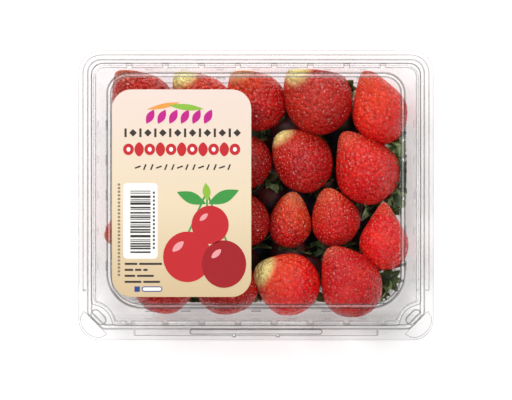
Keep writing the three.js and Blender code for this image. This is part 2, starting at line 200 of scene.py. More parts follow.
soft_box("key_box", (-0.42, 0.35, 0.85), PACK_MIDDLE, BOX_SIZE, 5.4)
soft_box("fill_box", (0.45, -0.1, 0.9), PACK_MIDDLE, BOX_SIZE, 2.6)
soft_box("front_box", (-0.1, -0.55, 0.8), PACK_MIDDLE, BOX_SIZE, 1.6)
soft_box("back_strip", (-0.05, 0.95, 0.3), (0, 0.05, 0.04), STRIP_SIZE, 7.0)

world = bpy.data.worlds.new("studio")
bpy.context.scene.world = world
world.use_nodes = True
world.node_tree.nodes.clear()
direction = add_node(world.node_tree, "ShaderNodeTexCoord").outputs["Generated"]
height = add_node(world.node_tree, "ShaderNodeSeparateXYZ", links={0: direction}).outputs["Z"]
sky = ramp(
    world.node_tree, height,
    [(0.0, "#b4b4b4"), (0.35, "#d8d8d8"), (0.7, "#ffffff"), (0.95, "#f0f0f0"), (0.985, "#484848")],
)
background = add_node(
    world.node_tree, "ShaderNodeBackground", {"Strength": SKY_STRENGTH}, {"Color": sky}
)
add_node(world.node_tree, "ShaderNodeOutputWorld", links={"Surface": background.outputs[0]})

# Matt paper: it has no gloss of its own, so the pack alone carries the highlights.
floor_paint, tree = new_material("white_paper_sweep")
paper = add_node(
    tree, "ShaderNodeBsdfPrincipled",
    {
        "Base Color": srgb("#fafafa"), "Roughness": 0.8,
        "Emission Color": (1, 1, 1, 1), "Emission Strength": FLOOR_GLOW,
    },
)
add_node(tree, "ShaderNodeOutputMaterial", links={"Surface": paper.outputs[0]})
bm = bmesh.new()
bmesh.ops.create_grid(bm, x_segments=1, y_segments=1, size=FLOOR_HALF)
floor_mesh = bpy.data.meshes.new("floor")
bm.to_mesh(floor_mesh)
bm.free()
floor_mesh.materials.append(floor_paint)
floor = bpy.data.objects.new("floor", floor_mesh)
bpy.context.scene.collection.objects.link(floor)

scene = bpy.context.scene
scene.view_settings.view_transform = "Standard"
scene.cycles.transparent_max_bounces = 48
scene.cycles.max_bounces = 10
scene.cycles.sample_clamp_indirect = 4

# %% [markdown]
# ## Clear sheet
# The pack is PET film, vacuum formed and glossy on both faces. It is far thinner than it is wide,
# so it doesn't bend what is behind it. A see-through shader with a mirror on top is therefore
# truer here than thick glass, and it lets light reach the fruit without costly caustics.
# Where the sheet turns away from the eye more of its depth is looked through, so it is greyer
# there and mirrors more. The lid mirrors the most. The drawn bends are painted the greyest, as
# painted shade for the dark lines that bent film shows.

# %% Clear sheet material
MIRROR_HEAD_ON = 0.024
MIRROR_CURVE = 2.5


def clear_sheet(name, tints, roughness, haze, grazing):
    """A see-through sheet whose tint, white haze and mirror shares grow as it turns edge on."""
    material, tree = new_material(name)
    facing = add_node(tree, "ShaderNodeLayerWeight", {"Blend": 0.5}).outputs["Facing"]
    tint = ramp(tree, facing, tints)
    steep = add_node(
        tree, "ShaderNodeMath", {"operation": "POWER", 1: MIRROR_CURVE}, {0: facing}
    ).outputs[0]
    mirror = add_node(
        tree, "ShaderNodeMath", {"operation": "MULTIPLY_ADD", 1: grazing, 2: MIRROR_HEAD_ON},
        {0: steep},
    ).outputs[0]
    milky = add_node(
        tree, "ShaderNodeMath", {"operation": "MULTIPLY", 1: haze}, {0: facing}
    ).outputs[0]
    through = add_node(tree, "ShaderNodeBsdfTransparent", links={"Color": tint})
    scatter = add_node(tree, "ShaderNodeBsdfDiffuse", {"Color": srgb("#f4f3f6")})
    body = add_node(
        tree, "ShaderNodeMixShader", links={0: milky, 1: through.outputs[0], 2: scatter.outputs[0]}
    )
    gloss = add_node(tree, "ShaderNodeBsdfGlossy", {"Roughness": roughness, "Color": (1, 1, 1, 1)})
    both = add_node(
        tree, "ShaderNodeMixShader", links={0: mirror, 1: body.outputs[0], 2: gloss.outputs[0]}
    )
    add_node(tree, "ShaderNodeOutputMaterial", links={"Surface": both.outputs[0]})
    return material


FLAT_TINTS = [(0.0, "#fdfdfd"), (0.6, "#fdfdfd"), (1.0, "#f8f8f8")]
# Painted shade: the bend sheet is tinted dark grey for the dark lines at the film's bends.
BEND_PAINTED_SHADE_TINTS = [(0.0, "#e4e4e4"), (0.3, "#a09f9e"), (0.85, "#6e6b69")]
lid_film = clear_sheet("clear_pet_lid", FLAT_TINTS, 0.05, 0.03, 0.4)
tray_film = clear_sheet("clear_pet_tray", FLAT_TINTS, 0.05, 0.03, 0.14)
pet_bend = clear_sheet("clear_pet_bend_painted_dark_lines", BEND_PAINTED_SHADE_TINTS, 0.15, 0.0, 0.2)

# %% [markdown]
# The tray and the lid already have their true shape in the CAD model, but its bends are knife
# sharp. Real film never folds sharply: it is drawn over a rounded mould. A copy of each node
# is merged, its flat facets are joined, and every bend is bevelled, so each one catches light.

# %% Tray and lid
MERGE_GAP = 0.002 * MM
FLAT_ANGLE = math.radians(1.5)
BEND_ANGLE = math.radians(24)
# The most that a bend may climb along its own length and still be rounded.
BEND_CLIMB = 0.3
# Width of the rounding, its steps, and the narrowest face beside a bend that takes it.
ROUNDINGS = ((0.36 * MM, 2, 0.95 * MM), (0.16 * MM, 1, 0.4 * MM))
# Small risers between these slopes are drawn thin. They and the rounded bends are painted grey,
# as painted shade for the dark lines that bent film shows.
RISER_SLOPE = math.cos(math.radians(15))
RISER_STEEP = math.cos(math.radians(82))
RISER_TALL = 1.3 * MM
RISER_LOWEST = FLANGE_Z - 2 * MM
OUTER_FACE = 0.05
# Where the rim's bead runs out beside the front corners, along the front and along the sides.
BEAD_END_ACROSS = (58.5 * MM, 61 * MM)
BEAD_END_FRONT = -62 * MM
BEAD_END_ALONG = (-48.5 * MM, -45.5 * MM)
BEAD_END_SIDE = 78 * MM
BEAD_END_LEAN = 0.1 * MM


def reach(face, edge):
    """How far a face reaches from one of its edges."""
    start, end = (v.co for v in edge.verts)
    along = (end - start).normalized()
    offsets = [v.co - start for v in face.verts]
    return max((offset - along * offset.dot(along)).length for offset in offsets)


def bead_end(edge):
    """True for the short edges where the rim's bead runs out beside the front corners."""
    (x0, y0, _), (x1, y1, _) = (v.co for v in edge.verts)
    low, high = BEAD_END_ACROSS
    front = abs(x0 - x1) < BEAD_END_LEAN and low < abs(x0) < high and y0 < BEAD_END_FRONT
    low, high = BEAD_END_ALONG
    side = abs(y0 - y1) < BEAD_END_LEAN and low < y0 < high and abs(x0) > BEAD_END_SIDE
    return front or side


def drawn_sheet(node_name, piece_name, body, film, outside):
    """A sheet with rounded bends; outside is 1 where its outer face looks up and -1 where down."""
    bm = bmesh.new()
    bm.from_mesh(NODES[node_name].data)
    bmesh.ops.remove_doubles(bm, verts=bm.verts, dist=MERGE_GAP)
    bmesh.ops.dissolve_limit(
        bm, angle_limit=FLAT_ANGLE, verts=bm.verts, edges=bm.edges, use_dissolve_boundaries=False
    )
    for face in bm.faces:
        heights = [v.co.z for v in face.verts]
        sloped = RISER_STEEP < outside * face.normal.z < RISER_SLOPE
        small = max(heights) - min(heights) < RISER_TALL and min(heights) > RISER_LOWEST
        # Small risers take the grey bend sheet, which is painted shade.
        face.material_index = int(sloped and small)
    bends = [
        e for e in bm.edges
        if len(e.link_faces) == 2 and e.calc_face_angle(0) > BEND_ANGLE
        and abs(e.verts[0].co.z - e.verts[1].co.z) < BEND_CLIMB * e.calc_length()
        and not bead_end(e)
    ]
    groups = [[] for _ in ROUNDINGS]
    for edge in bends:
        narrowest = min(reach(face, edge) for face in edge.link_faces)
        fits = [narrowest > least for _, _, least in ROUNDINGS]
        edge.smooth = any(fits)
        if any(fits):
            groups[fits.index(True)].append(edge)
    for (width, steps, _), edges in zip(ROUNDINGS, groups):
        edges = [e for e in edges if e.is_valid]
        rounded = bmesh.ops.bevel(
            bm, geom=edges, offset=width, segments=steps, profile=0.5, affect="EDGES",
            material=-1, clamp_overlap=False,
        )["faces"]
        for face in rounded:
            # The outer faces of the rounded bends take the grey bend sheet, which is painted shade.
            face.material_index = int(outside * face.normal.z > OUTER_FACE)
        print(piece_name, "bends", len(edges), "rounded by", round(width / MM, 2), "mm")
    loose = sum(1 for e in bm.edges if len(e.link_faces) != 2)
    print(piece_name, "faces", len(bm.faces), "open edges", loose)
    piece = finish_piece(piece_name, bm, [film, pet_bend], body)
    shading = piece.modifiers.new("flat_panels_shade_flat", "WEIGHTED_NORMAL")
    shading.mode = "FACE_AREA"
    shading.keep_sharp = True
    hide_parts(node_name)


drawn_sheet("base_tray", "tray_sheet", "tray", tray_film, -1)
drawn_sheet("lid", "lid_sheet", "lid", lid_film, 1)

# %% [markdown]
# ## Soaker pad
# The pad under the fruit is a dark blue non-woven with embossed cells that soak up juice.
# It stays the CAD node, and its material draws the cells 6 mm apart as a quilted bump, with
# their pressed-in edges painted darker as painted shade.

# %% Soaker pad material
CELL_PITCH_MM = 6.0
CELL_DEPTH_MM = 1.0


def embossed_pad():
    """Heat-bonded fibre: quite matt, with soft cells whose pressed-in edges get painted shade."""
    material, tree = new_material("absorbent_nonwoven_embossed")
    place = add_node(tree, "ShaderNodeTexCoord").outputs["Object"]
    cells = add_node(
        tree, "ShaderNodeTexVoronoi",
        {"Scale": 1 / (CELL_PITCH_MM * MM), "Randomness": 0.1}, {"Vector": place},
    ).outputs["Distance"]
    # Painted shade: each cell darkens towards its pressed-in edge.
    tone = ramp(tree, cells, [(0.0, "#2b3763"), (0.6, "#141a30")])
    relief = add_node(
        tree, "ShaderNodeBump",
        {"Strength": 0.6, "Distance": CELL_DEPTH_MM * MM, "invert": True}, {"Height": cells},
    )
    fibre = add_node(
        tree, "ShaderNodeBsdfPrincipled", {"Roughness": 0.75},
        {"Base Color": tone, "Normal": relief.outputs[0]},
    )
    add_node(tree, "ShaderNodeOutputMaterial", links={"Surface": fibre.outputs[0]})
    return material


give_material("soaker_pad", embossed_pad())

# %% [markdown]
# ## Strawberries
# A strawberry is a blunt cone with puffed skin: each seed sits in a small pit. The pits are what
# make it read as a strawberry, so they are real dents in the mesh. An icosphere has even
# triangles all over, unlike a globe with poles, so it takes the dents evenly. Seeds are laid
# out on a golden-angle spiral, as the plant does, which crowds them a little at the tip.
# The outer fruit lean on the tray, so skin that would pass its wall is eased back to it.

# %% Fruit sizes
PAD_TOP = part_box("soaker_pad")[1].z
SEED_COUNT = 600
PIT_DEPTH = 0.5 * MM
PIT_RADIUS = 0.7 * MM
SEED_SIZE = Vector((0.2, 0.35, 0.24)) * MM
GOLDEN_ANGLE = math.pi * (3 - math.sqrt(5))
SEED_SCATTER = 0.05
# How far down a unit sphere the seeds go, and a small step up it that finds each seed's forward.
SEED_SPAN = 1.93
STEP_TO_TIP = 0.02
PUCKER_PITCH_MM = 2.0
PUCKER_DEPTH_MM = 1.1
SKIN_DIVISIONS = 6
# Heights up the tray, and the room inside it there: half across, to the front, to the back and
# the corner radii. The front corners are bitten off above the middle, so theirs grow there.
WALL_HEIGHTS = np.array([1.8, 4.0, 14.0, 27.0, 32.3]) * MM
ROOM_ACROSS = np.array([71.3, 72.3, 74.6, 77.2, 78.1]) * MM
ROOM_FRONT = np.array([54.3, 55.3, 57.6, 60.4, 61.3]) * MM
ROOM_BACK = np.array([55.3, 56.3, 58.6, 61.2, 62.1]) * MM
CORNER_FRONT = np.array([12.5, 13.0, 15.0, 25.0, 25.0]) * MM
CORNER_BACK = np.array([9.5, 10.0, 9.0, 6.0, 6.0]) * MM
WALL_GAP = 0.3 * MM
SQUASH = 1.2 * MM
# Keeps a division from meeting zero.
TINY = 1e-9


def smooth_step(low, high, value):
    """A share that eases from 0 at low to 1 at high."""
    t = np.clip((value - low) / (high - low), 0, 1)
    return t * t * (3 - 2 * t)


def press(distance, room):
    """Eases a distance that comes near its room, so that skin flattens on a wall it can't pass."""
    start = room - WALL_GAP - SQUASH
    over = np.maximum(distance - start, 0)
    return np.where(distance > start, start + SQUASH * (1 - np.exp(-over / SQUASH)), distance)


def between_walls(points):
    """Keeps points inside the tray, whose plan is an oblong with rounded corners."""
    x, y, z = points.T
    across = np.interp(z, WALL_HEIGHTS, ROOM_ACROSS)
    along = np.interp(z, WALL_HEIGHTS, ROOM_BACK)
    corner = np.interp(z, WALL_HEIGHTS, CORNER_BACK)
    along = np.where(y < 0, np.interp(z, WALL_HEIGHTS, ROOM_FRONT), along)
    corner = np.where(y < 0, np.interp(z, WALL_HEIGHTS, CORNER_FRONT), corner)
    flat_x = np.minimum(np.abs(x), across - corner)
    flat_y = np.minimum(np.abs(y), along - corner)
    over_x = np.abs(x) - flat_x
    over_y = np.abs(y) - flat_y
    distance = np.hypot(over_x, over_y)
    keep = press(distance, corner) / np.maximum(distance, TINY)
    x = np.sign(x) * (flat_x + over_x * keep)
    y = np.sign(y) * (flat_y + over_y * keep)
    return np.stack([x, y, z], axis=1)


def lean_on_walls(bm):
    """Moves the corners of a mesh that is being built inside the tray."""
    for vert, co in zip(bm.verts, between_walls(np.array([v.co for v in bm.verts]))):
        vert.co = co


# Shares of the fruit: where its taper starts and ends, and the hollow round its stalk.
TAPER_START = 0.3
TAPER_END = 1.05
HOLLOW_DEEP = 0.16
HOLLOW_WIDE = 0.32


def fruit_form(unit, fruit, waves):
    """Moves points of the unit sphere onto a fruit's skin before its pits, with the tip at +Z."""
    along = (unit[:, 2] + 1) / 2
    taper = 1 - fruit["point"] * smooth_step(TAPER_START, TAPER_END, along)
    radius = np.hypot(unit[:, 0], unit[:, 1])
    hollow = HOLLOW_DEEP * np.exp(-((radius / HOLLOW_WIDE) ** 2)) * (unit[:, 2] < 0)
    lumps = np.ones(len(unit))
    for direction, phase, height in waves:
        lumps += height * np.sin(unit @ direction + phase)
    shape = np.empty_like(unit)
    shape[:, 0] = unit[:, 0] * taper * lumps * fruit["width"] / 2 * fruit["flat"]
    shape[:, 1] = unit[:, 1] * taper * lumps * fruit["width"] / 2 / fruit["flat"]
    shape[:, 2] = (unit[:, 2] + hollow) * fruit["length"] / 2 * (0.5 + lumps / 2)
    shape[:, 0] += fruit["bend"] * fruit["width"] * (along - 0.5) ** 2
    return shape * MM


def seed_places(fruit, waves):
    """Even places for the seeds, and points just ahead of them, with the stalk's end left free."""
    index = np.arange(SEED_COUNT) + 0.5
    z = 1 - SEED_SPAN * index / SEED_COUNT
    turn = index * GOLDEN_ANGLE
    ring = np.sqrt(np.clip(1 - z * z, 0, 1))
    unit = np.stack([ring * np.cos(turn), ring * np.sin(turn), z], axis=1)
    unit += np.random.default_rng(fruit["seed"]).uniform(-SEED_SCATTER, SEED_SCATTER, unit.shape)
    unit /= np.linalg.norm(unit, axis=1)[:, None]
    nearer_tip = unit + np.array([0, 0, STEP_TO_TIP])
    nearer_tip /= np.linalg.norm(nearer_tip, axis=1)[:, None]
    return unit, fruit_form(unit, fruit, waves), fruit_form(nearer_tip, fruit, waves)


# %% [markdown]
# The fruit lie with their tips towards the back left, so the green caps hide under the next
# fruit. Each row gives where one lies in mm, which way its tip points and tilts in degrees, and
# its length and width in mm. Then come shares: how pale its tip is, because some were picked
# before the tip had turned red, how warm and how bright its red is, and how pointed it is. The
# last number is how many mm it is held up by the fruit beside it.

# %% Where the fruit lie
FRUIT_KEYS = (
    "x", "y", "heading", "tilt", "length", "width", "pale", "warm", "tone", "point", "lift",
)
FRUIT_ROWS = [
    (-57.8, 48.2, 118, 28, 39.5, 31, 0.1, 0.2, 0.25, 0.42, 0),
    (-27.9, 47.2, 128, 30, 39, 29, 1.0, 0.5, 0.4, 0.35, 0),
    (-0.6, 48.8, 117, 30, 39, 29, 0.35, 0.9, 0.4, 0.35, 0),
    (29.4, 49.6, 129, 30, 41, 35, 1.0, 0.3, 0.25, 0.32, 0),
    (60.4, 44.3, 113, 28, 42, 30.5, 0.05, 0.7, 0.95, 0.58, 0),
    (-59, 15, 100, 12, 33, 28, 0.0, 0.3, 0.4, 0.4, 0),
    (-33.3, 17, 60, 15, 33, 29, 0.2, 0.3, 0.4, 0.4, 0),
    (-7.2, 17.8, 140, 18, 33, 29, 0.2, 0.2, 0.15, 0.4, 0),
    (21.9, 17.9, 130, 24, 36, 30.5, 0.9, 0.5, 0.3, 0.3, 0),
    (53.2, 14.5, 123, 16, 40.5, 34, 0.05, 0.2, 0.72, 0.52, 0),
    (-60, -15, 200, 14, 32, 28, 0.1, 0.9, 0.8, 0.4, 0),
    (-34.8, -13, 130, 15, 33, 28, 0.1, 0.3, 0.4, 0.4, 0),
    (-6.4, -10.6, 110, 18, 32, 28.5, 0.1, 0.3, 0.2, 0.4, 0),
    (17.2, -12.5, 82, 22, 30, 21.5, 0.1, 0.9, 0.5, 0.3, 2),
    (39.2, -10.6, 103, 25, 31, 25.5, 0.05, 0.4, 0.6, 0.34, 2),
    (63.2, -20.4, 92, 14, 35, 25.5, 0.05, 0.0, 1.0, 0.6, 4),
    (-45.2, -43.6, 80, 12, 32, 28.5, 0.0, 0.3, 0.5, 0.4, 5),
    (-14.4, -43.6, 100, 12, 32, 31.5, 0.1, 0.3, 0.4, 0.35, 4),
    (14.6, -43.0, 158, 20, 35, 33, 0.95, 0.7, 0.95, 0.34, 4),
    (45.4, -41.9, 121, 18, 40, 33, 0.05, 0.0, 0.55, 0.45, 5),
]
FRUIT = [dict(zip(FRUIT_KEYS, row)) for row in FRUIT_ROWS]

# %% [markdown]
# Skin colour is a pattern that follows the fruit, so it is stored on the mesh as attributes while
# the form is known: how far a point lies towards the pale tip, how warm and how bright it is, and
# how deep it lies in a pit. The shader mixes colours by them, with noise to break the edges up.
# The pits and the valleys between puckers are mixed towards a darker red, as painted shade.

# %% Fruit skin and seed materials
BLOTCH_SIZE = 7 * MM
GRAIN_SIZE = 0.5 * MM
SEED_TONE_SIZE = 1.4 * MM


def attribute(tree, name):
    """The socket of a number that is stored on the mesh."""
    return add_node(tree, "ShaderNodeAttribute", {"attribute_name": name}).outputs["Fac"]


def ripe_skin():
    """Ripe strawberry skin: wet looking, a little see-through, paler at the tip.

    Its wax is a thin smooth coat over red flesh, so each pucker carries a small sharp glint.
    The pits and the valleys between puckers are painted a darker red, as painted shade.
    """
    material, tree = new_material("strawberry_skin_ripe")
    place = add_node(tree, "ShaderNodeTexCoord").outputs["Object"]
    blotches = add_node(
        tree, "ShaderNodeTexNoise", {"Scale": 1 / BLOTCH_SIZE, "Detail": 3.0}, {"Vector": place}
    ).outputs["Fac"]
    grain = add_node(
        tree, "ShaderNodeTexNoise", {"Scale": 1 / GRAIN_SIZE, "Detail": 2.0}, {"Vector": place}
    ).outputs["Fac"]
    deep = ramp(tree, blotches, [(0.3, "#98060c"), (0.5, "#b20c12"), (0.72, "#ca1a16")])
    bright = ramp(tree, blotches, [(0.3, "#e80814"), (0.5, "#f61016"), (0.72, "#ff2a16")])
    red = blend_colours(tree, attribute(tree, "tone"), deep, bright)
    warmed = blend_colours(tree, attribute(tree, "warm"), red, srgb("#f8501c"))
    puckers = add_node(
        tree, "ShaderNodeTexVoronoi", {"Scale": 1 / (PUCKER_PITCH_MM * MM)}, {"Vector": place}
    ).outputs["Distance"]
    # Painted shade: the valleys between puckers are mixed towards a darker red.
    painted_valley_shade = add_node(
        tree, "ShaderNodeMapRange",
        {"From Min": 0.3, "From Max": 0.8, "To Max": 0.4}, {"Value": puckers},
    ).outputs[0]
    shade = blend_colours(tree, attribute(tree, "tone"), srgb("#7c060c"), srgb("#d2140e"))
    cells = blend_colours(tree, painted_valley_shade, warmed, shade)
    # Painted shade: the pits are mixed towards the same darker red.
    pits = blend_colours(tree, attribute(tree, "pit"), cells, shade)
    pale = blend_colours(tree, attribute(tree, "pale"), pits, srgb("#ffee98"))
    shine = add_node(
        tree, "ShaderNodeMapRange", {"To Min": 0.3, "To Max": 0.45}, {"Value": grain}
    ).outputs[0]
    domes = add_node(
        tree, "ShaderNodeMath", {"operation": "POWER", 1: 2.0}, {0: puckers}
    ).outputs[0]
    relief = add_node(
        tree, "ShaderNodeBump",
        {"Strength": 1.0, "Distance": PUCKER_DEPTH_MM * MM, "invert": True}, {"Height": domes},
    )
    skin = add_node(
        tree, "ShaderNodeBsdfPrincipled",
        {
            "IOR": 1.5, "Specular IOR Level": 0.1, "Subsurface Weight": 0.12,
            "Subsurface Radius": (1.0, 0.25, 0.15), "Subsurface Scale": 2.0 * MM,
            "Coat Weight": 0.6, "Coat Roughness": 0.05, "Coat IOR": 1.6,
        },
        {
            "Base Color": pale, "Roughness": shine,
            "Normal": relief.outputs[0], "Coat Normal": relief.outputs[0],
        },
    )
    add_node(tree, "ShaderNodeOutputMaterial", links={"Surface": skin.outputs[0]})
    return material


def seed_coat():
    """Achenes: small shiny dry fruits, golden red, painted pale pink as glints, olive at an unripe
    tip.
    """
    material, tree = new_material("strawberry_achene")
    place = add_node(tree, "ShaderNodeTexCoord").outputs["Object"]
    spread = add_node(
        tree, "ShaderNodeTexNoise", {"Scale": 1 / SEED_TONE_SIZE, "Detail": 1.0}, {"Vector": place}
    ).outputs["Fac"]
    # Painted highlight: the pale pink end of this ramp stands in for glints on the seeds.
    gold_and_painted_glint = ramp(tree, spread, [(0.36, "#e25c46"), (0.5, "#ff9676"), (0.64, "#ffcaa4")])
    colour = blend_colours(tree, attribute(tree, "pale"), gold_and_painted_glint, srgb("#7d7420"))
    seed = add_node(
        tree, "ShaderNodeBsdfPrincipled",
        {"Roughness": 0.28, "Coat Weight": 0.4, "Coat Roughness": 0.1}, {"Base Color": colour},
    )
    add_node(tree, "ShaderNodeOutputMaterial", links={"Surface": seed.outputs[0]})
    return material


skin_material = ripe_skin()
seed_material = seed_coat()

# %% One fruit
FRUIT_SEED = 500
WAVE_COUNT = 5
WAVE_REACH = 3.4
FULL_TURN = 6.28
# How much painted shade the deepest pit takes.
PIT_SHADE_SHARE = 0.6
PIT_LEAN = 0.1
PAD_GAP = 0.3 * MM
SEED_SUNK = PIT_DEPTH - 0.08 * MM
# Shares of the way to the tip where pale and warm skin start, and how far they lean to one side.
PALE_START = 0.83
PALE_FULL = 0.96
PALE_LEAN = 0.05
WARM_START = 0.35
WARM_LEAN = 0.25


def fruit_turn(fruit, roll):
    """The turn that lays a fruit down with its tip along its heading, tilted up."""
    heading = math.radians(fruit["heading"])
    tilt = math.radians(fruit["tilt"])
    level = math.cos(tilt)
    tip = Vector((level * math.cos(heading), level * math.sin(heading), math.sin(tilt)))
    return tip.to_track_quat("Z", "Y").to_matrix() @ Matrix.Rotation(roll, 3, "Z")


def colour_shares(unit, fruit):
    """How pale and how warm the skin is at points of the unit sphere."""
    along = (unit[:, 2] + 1) / 2
    side = unit @ np.array(fruit["lit_side"])
    pale = fruit["pale"] * smooth_step(PALE_START, PALE_FULL, along + PALE_LEAN * side)
    warm = fruit["warm"] * smooth_step(WARM_START, 1.0, along + WARM_LEAN * side)
    return pale, warm


def own_nature(number, fruit):
    """One fruit's lumps, bend and turn, with the random source that its seeds go on drawing from."""
    rng = random.Random(FRUIT_SEED + number)
    fruit = dict(fruit, seed=number)
    fruit["flat"] = rng.uniform(0.97, 1.04)
    fruit["bend"] = rng.uniform(-0.12, 0.12)
    fruit["lit_side"] = [rng.uniform(-1, 1) for _ in range(3)]
    waves = [
        (
            np.array([rng.uniform(-WAVE_REACH, WAVE_REACH) for _ in range(3)]),
            rng.uniform(0, FULL_TURN),
            rng.uniform(0.01, 0.028),
        )
        for _ in range(WAVE_COUNT)
    ]
    return fruit, waves, np.array(fruit_turn(fruit, rng.uniform(0, FULL_TURN))), rng


def pitted(skin, seed_at):
    """Skin pressed in round each seed, with how deep in a pit each point lies."""
    tree = kdtree.KDTree(len(seed_at))
    for i, p in enumerate(seed_at):
        tree.insert(p, i)
    tree.balance()
    gap = np.array([tree.find(p)[2] for p in skin])
    pit = np.exp(-((gap / PIT_RADIUS) ** 2))
    outward = skin - np.array([0, 0, PIT_LEAN]) * skin[:, 2:3]
    outward /= np.linalg.norm(outward, axis=1)[:, None] + TINY
    return skin - outward * (pit * PIT_DEPTH)[:, None], pit


def seed_shells(seed_at, seed_ahead, rng, whole):
    """A small egg in the foot of each pit, with its long axis towards the tip."""
    seeds = bmesh.new()
    outward_all = seed_at / np.linalg.norm(seed_at, axis=1)[:, None]
    for at, ahead, outward in zip(seed_at, seed_ahead, outward_all):
        up = Vector(outward)
        forward = (Vector(ahead) - Vector(at)).normalized()
        right = forward.cross(up).normalized()
        forward = up.cross(right)
        axes = Matrix((right, forward, up)).transposed().to_4x4()
        size = Matrix.Diagonal((*(SEED_SIZE * rng.uniform(0.85, 1.15)), 1))
        base = Matrix.Translation(Vector(at) - up * SEED_SUNK)
        bmesh.ops.create_icosphere(seeds, subdivisions=1, radius=1, matrix=base @ axes @ size)
    bmesh.ops.transform(seeds, matrix=whole, verts=seeds.verts)
    lean_on_walls(seeds)
    return seeds


def store(piece, name, on_skin, on_seed, seed_corners):
    """Stores a number for each corner of the skin, then for each corner of the seeds."""
    values = np.concatenate([on_skin, np.repeat(on_seed, seed_corners)])
    layer = piece.data.attributes.new(name, "FLOAT", "POINT")
    layer.data.foreach_set("value", values.astype(np.float32))


def make_fruit(number, fruit):
    """One strawberry with its seeds, and the matrix that laid it in the tray."""
    fruit, waves, turn, rng = own_nature(number, fruit)
    bm = bmesh.new()
    bmesh.ops.create_icosphere(bm, subdivisions=SKIN_DIVISIONS, radius=1)
    mesh = bpy.data.meshes.new("skin")
    bm.to_mesh(mesh)
    bm.free()
    unit = np.empty(len(mesh.vertices) * 3)
    mesh.vertices.foreach_get("co", unit)
    unit = unit.reshape(-1, 3)
    seed_unit, seed_at, seed_ahead = seed_places(fruit, waves)
    skin, pit = pitted(fruit_form(unit, fruit, waves), seed_at)

    lay = skin @ turn.T
    lift = PAD_TOP + PAD_GAP - lay[:, 2].min() + fruit["lift"] * MM
    place = np.array([fruit["x"] * MM, fruit["y"] * MM, lift])
    mesh.vertices.foreach_set("co", between_walls(lay + place).ravel())
    whole = Matrix.Translation(place) @ Matrix(turn.tolist()).to_4x4()
    seeds = seed_shells(seed_at, seed_ahead, rng, whole)
    seed_corners = len(seeds.verts) // len(seed_at)
    seed_mesh = bpy.data.meshes.new("seeds")
    seeds.to_mesh(seed_mesh)
    seeds.free()

    both = bmesh.new()
    both.from_mesh(mesh)
    skin_faces = len(both.faces)
    both.from_mesh(seed_mesh)
    bpy.data.meshes.remove(mesh)
    bpy.data.meshes.remove(seed_mesh)
    both.faces.ensure_lookup_table()
    for face in both.faces[skin_faces:]:
        face.material_index = 1
    piece = finish_piece(f"strawberry_{number:02d}", both, [skin_material, seed_material], "tray")
    pale, warm = colour_shares(unit, fruit)
    seed_pale, seed_warm = colour_shares(seed_unit, fruit)
    store(piece, "pale", pale, seed_pale, seed_corners)
    store(piece, "warm", warm, seed_warm, seed_corners)
    store(piece, "pit", pit * PIT_SHADE_SHARE, np.zeros(SEED_COUNT), seed_corners)
    store(piece, "tone", np.full(len(unit), fruit["tone"]), np.ones(SEED_COUNT), seed_corners)
    return piece, whole


# %% All the fruit
fruit_pieces = []
fruit_frames = []
for number, fruit in enumerate(FRUIT, start=1):
    piece, whole = make_fruit(number, fruit)
    fruit_pieces.append(piece)
    fruit_frames.append(whole)
print("fruit", len(fruit_pieces), "triangles", sum(len(p.data.polygons) for p in fruit_pieces))

# %% [markdown]
# ## Green caps
# Each fruit keeps its cap of pointed sepals and a stub of stalk. Only a few tips show between
# the fruit, but they give the dark green glints that stop the gaps reading as holes. A sepal is
# a small grid pinched to a point at each end, bent in an arc and given a thickness.

# %% Leaf material and caps
LEAF_MOTTLE = 4 * MM
LEAF_RELIEF = 0.3 * MM
# A sepal is widest nearer its root and keeled like a boat. Below the least curl it is straight.
SEPAL_ROOTWARD = 0.75
SEPAL_KEEL = 0.35
LEAST_CURL = 0.05
# Share of the half length, from a fruit's middle down, where its cap sits.
CAP_DOWN = 0.86


def leaf_green(name, shades):
    """Fresh leaf: satin rather than glossy, mottled along its veins, a little light passing."""
    material, tree = new_material(name)
    place = add_node(tree, "ShaderNodeTexCoord").outputs["Object"]
    mottle = add_node(
        tree, "ShaderNodeTexNoise", {"Scale": 1 / LEAF_MOTTLE, "Detail": 4.0}, {"Vector": place}
    ).outputs["Fac"]
    green = ramp(tree, mottle, shades)
    relief = add_node(
        tree, "ShaderNodeBump", {"Strength": 0.4, "Distance": LEAF_RELIEF}, {"Height": mottle}
    )
    leaf = add_node(
        tree, "ShaderNodeBsdfPrincipled", {"Roughness": 0.5, "Subsurface Weight": 0.05},
        {"Base Color": green, "Normal": relief.outputs[0]},
    )
    add_node(tree, "ShaderNodeOutputMaterial", links={"Surface": leaf.outputs[0]})
    return material


leaf_material = leaf_green(
    "sepal_leaf_fresh", [(0.3, "#1c2e16"), (0.55, "#324a22"), (0.75, "#5f7a3c")]
)
pale_leaf = leaf_green(
    "sepal_underside_pale", [(0.3, "#6f8a4a"), (0.55, "#9db27a"), (0.75, "#c9d3a8")]
)


def add_sepal(bm, matrix, length, width, curl, twist, shade):
    """One pointed leaf from the origin along +X, curling up out of the XY plane."""
    made = bmesh.ops.create_grid(bm, x_segments=8, y_segments=2, size=0.5)["verts"]
    for v in made:
        u = v.co.x + 0.5
        wide = width * math.sin(math.pi * min(u ** SEPAL_ROOTWARD, 1)) * (1 - 0.25 * u)
        angle = curl * u
        side = v.co.y * wide
        ahead = length * (math.sin(angle) / curl if abs(curl) > LEAST_CURL else u)
        rise = length * ((1 - math.cos(angle)) / curl if abs(curl) > LEAST_CURL else 0)
        keel = abs(v.co.y) * width * SEPAL_KEEL
        v.co = Vector((ahead, side * math.cos(twist * u), rise + keel + side * math.sin(twist * u)))
    bmesh.ops.transform(bm, matrix=matrix, verts=made)
    for face in {f for v in made for f in v.link_faces}:
        face.material_index = shade


